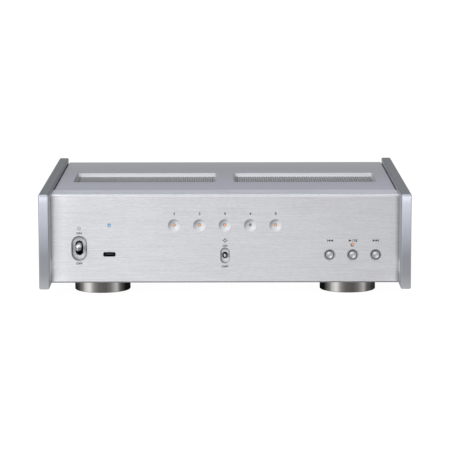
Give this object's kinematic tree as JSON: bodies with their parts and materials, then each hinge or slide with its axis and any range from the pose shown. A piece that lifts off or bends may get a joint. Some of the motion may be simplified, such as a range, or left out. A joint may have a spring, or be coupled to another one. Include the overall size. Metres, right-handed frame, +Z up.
{
  "type": "network music streamer",
  "caption": "Compact silver network music streamer: brushed front panel with toggles, lights and buttons, between thick side plates, on turned metal feet.",
  "frame": {"origin": "on the floor under the middle of the bounding box, rear jacks included", "axes": "+X to the right of someone facing the front panel, +Y to the back, +Z up"},
  "size_m": [0.29, 0.249, 0.0845],
  "materials": {
    "plate_aluminium": "fine bead blasted, clear anodised",
    "panel_aluminium": "horizontal hairline brushed, clear anodised",
    "cover_aluminium": "hairline brushed, clear anodised",
    "mesh_steel": "grey painted perforated sheet",
    "chassis_steel": "zinc plated sheet",
    "rear_aluminium": "silver anodised",
    "foot_metal": "turned and polished, dark",
    "pin_steel": "turned steel",
    "felt": "black felt",
    "screw_steel": "zinc plated",
    "button_metal": "spun face, anodised",
    "lever_chrome": "bright chrome",
    "switch_plastic": "black moulding",
    "lit_amber": "lit amber lens",
    "lit_blue": "lit blue lens",
    "unlit_lens": "clear lens, unlit",
    "socket_steel": "plated shell",
    "socket_plastic": "black moulding",
    "jack_brass": "gold plated",
    "jack_nickel": "nickel plated",
    "board_green": "solder mask",
    "standoff_brass": "turned",
    "transformer_wrap": "taped winding",
    "dish_steel": "pressed",
    "pad_rubber": "soft sheet",
    "capacitor_sleeve": "shrink sleeve",
    "sink_aluminium": "black anodised",
    "ribbon_grey": "flat cable"
  },
  "bodies": {
    "case": {"side_plate_left": "plate_aluminium", "side_plate_right": "plate_aluminium", "front_panel": "panel_aluminium", "top_cover": "cover_aluminium", "vent_mesh_left": "mesh_steel", "vent_mesh_right": "mesh_steel", "bottom_chassis": "chassis_steel", "power_switch_flange": "chassis_steel", "rear_panel": "rear_aluminium", "foot_front_left": "foot_metal", "foot_front_right": "foot_metal", "foot_rear": "foot_metal", "foot_pin_front_left": "pin_steel", "foot_pin_front_right": "pin_steel", "foot_pin_rear": "pin_steel", "power_lever_pin": "pin_steel", "foot_pad_front_left": "felt", "foot_pad_front_right": "felt", "foot_pad_rear": "felt", "side_screws": "screw_steel", "panel_screws": "screw_steel", "cover_screws": "screw_steel", "rear_screws": "screw_steel", "board_screws": "screw_steel", "control_board_screws": "screw_steel", "foot_nuts": "screw_steel", "transformer_bolt": "screw_steel", "power_switch_body": "switch_plastic", "dimmer_switch_body": "switch_plastic", "tact_switches": "switch_plastic", "indicator_lights": "lit_amber", "play_light": "lit_amber", "status_light": "lit_blue", "idle_indicator_light": "unlit_lens", "usb_c_socket": "socket_steel", "fibre_cage": "socket_steel", "usb_a_socket": "socket_steel", "usb_c_tongue": "socket_plastic", "ethernet_socket": "socket_plastic", "optical_output": "socket_plastic", "mains_inlet": "socket_plastic", "coaxial_output": "jack_brass", "clock_input": "jack_nickel", "control_board": "board_green", "main_board": "board_green", "supply_board": "board_green", "streaming_module": "board_green", "board_standoffs": "standoff_brass", "transformer": "transformer_wrap", "transformer_dish": "dish_steel", "transformer_pad": "pad_rubber", "filter_capacitors": "capacitor_sleeve", "supply_heat_sink": "sink_aluminium", "ribbon_cable": "ribbon_grey"},
    "power_lever": {"power_lever": "lever_chrome"},
    "dimmer_lever": {"dimmer_lever": "lever_chrome"},
    "previous_button": {"previous_button": "button_metal"},
    "play_button": {"play_button": "button_metal"},
    "next_button": {"next_button": "button_metal"},
    "optical_shutter": {"optical_shutter": "socket_plastic"}
  },
  "joints": [
    {"name": "power_toggle", "type": "hinge", "parent": "case", "child": "power_lever", "pos_m": [-0.11505, -0.086, 0.0404], "axis": [1, 0, 0], "range_deg": [0, 20]},
    {"name": "dimmer_toggle", "type": "hinge", "parent": "case", "child": "dimmer_lever", "pos_m": [0, -0.0893, 0.0323], "axis": [1, 0, 0], "range_deg": [-9, 9]},
    {"name": "previous_press", "type": "slide", "parent": "case", "child": "previous_button", "axis": [0, 1, 0], "range_m": [0, 0.0008], "stiffness_N_per_m": 800, "springref_m": -0.0003},
    {"name": "play_press", "type": "slide", "parent": "case", "child": "play_button", "axis": [0, 1, 0], "range_m": [0, 0.0008], "stiffness_N_per_m": 800, "springref_m": -0.0003},
    {"name": "next_press", "type": "slide", "parent": "case", "child": "next_button", "axis": [0, 1, 0], "range_m": [0, 0.0008], "stiffness_N_per_m": 800, "springref_m": -0.0003},
    {"name": "shutter_hinge", "type": "hinge", "parent": "case", "child": "optical_shutter", "pos_m": [0.09406, 0.1124, 0.03015], "axis": [-1, 0, 0], "range_deg": [0, 80], "stiffness_Nm_per_rad": 0.0004, "springref_deg": -17.19}
  ]
}
